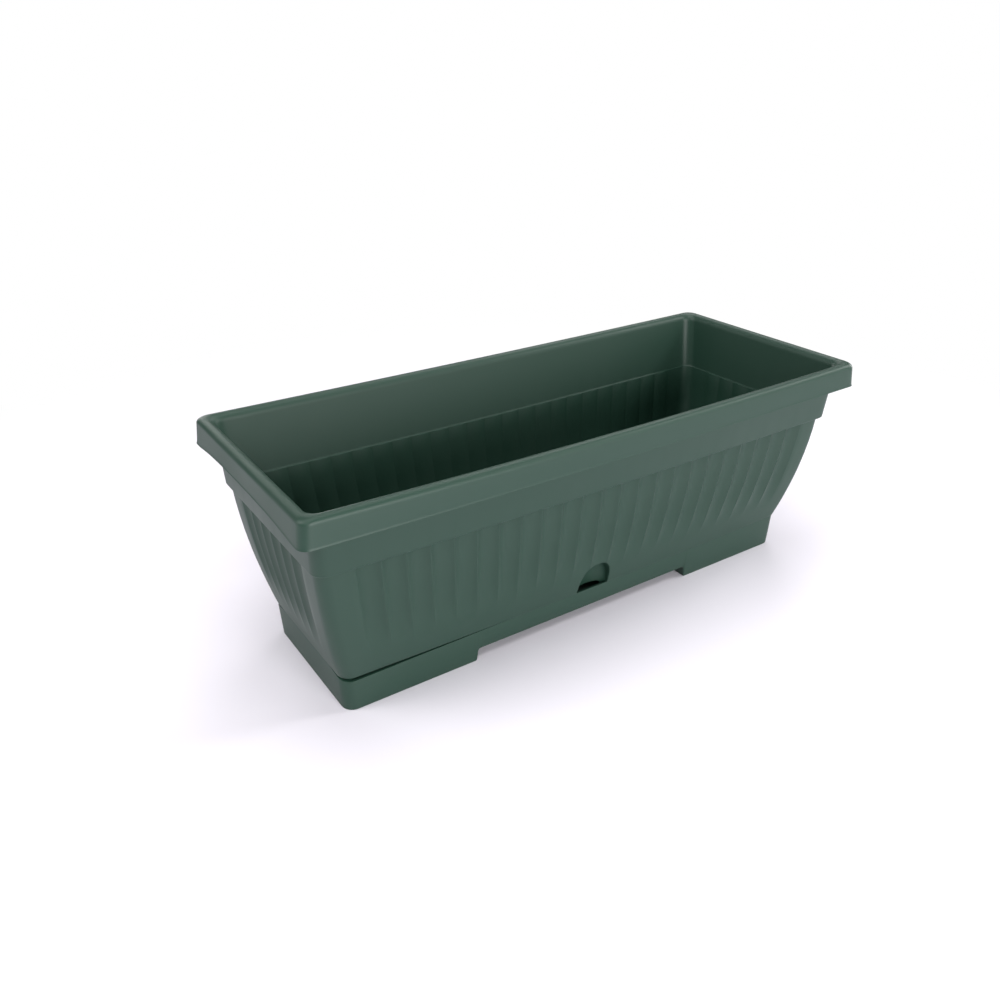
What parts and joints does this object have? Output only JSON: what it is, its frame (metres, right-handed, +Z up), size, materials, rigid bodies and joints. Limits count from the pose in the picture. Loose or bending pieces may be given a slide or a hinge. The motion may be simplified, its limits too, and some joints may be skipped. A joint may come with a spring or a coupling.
{
  "type": "rectangular planter",
  "caption": "Rectangular plastic planter: a fluted trough with a rolled rim and a small arched watering window, lifted out of a shallow saucer that stands on two feet.",
  "frame": {"origin": "on the ground under the middle of the planter", "axes": "+Z up; +X along the planter's length; the watering window in the front long wall faces -Y"},
  "size_m": [0.504, 0.2026, 0.18],
  "materials": {
    "green_polypropylene": "smooth injection moulded polypropylene, dark grey green, satin"
  },
  "bodies": {
    "saucer": {"saucer": "green_polypropylene"},
    "trough": {"trough": "green_polypropylene"}
  },
  "joints": [
    {"name": "trough_lift", "type": "slide", "parent": "saucer", "child": "trough", "axis": [0, 0, 1], "range_m": [0, 0.06]}
  ]
}
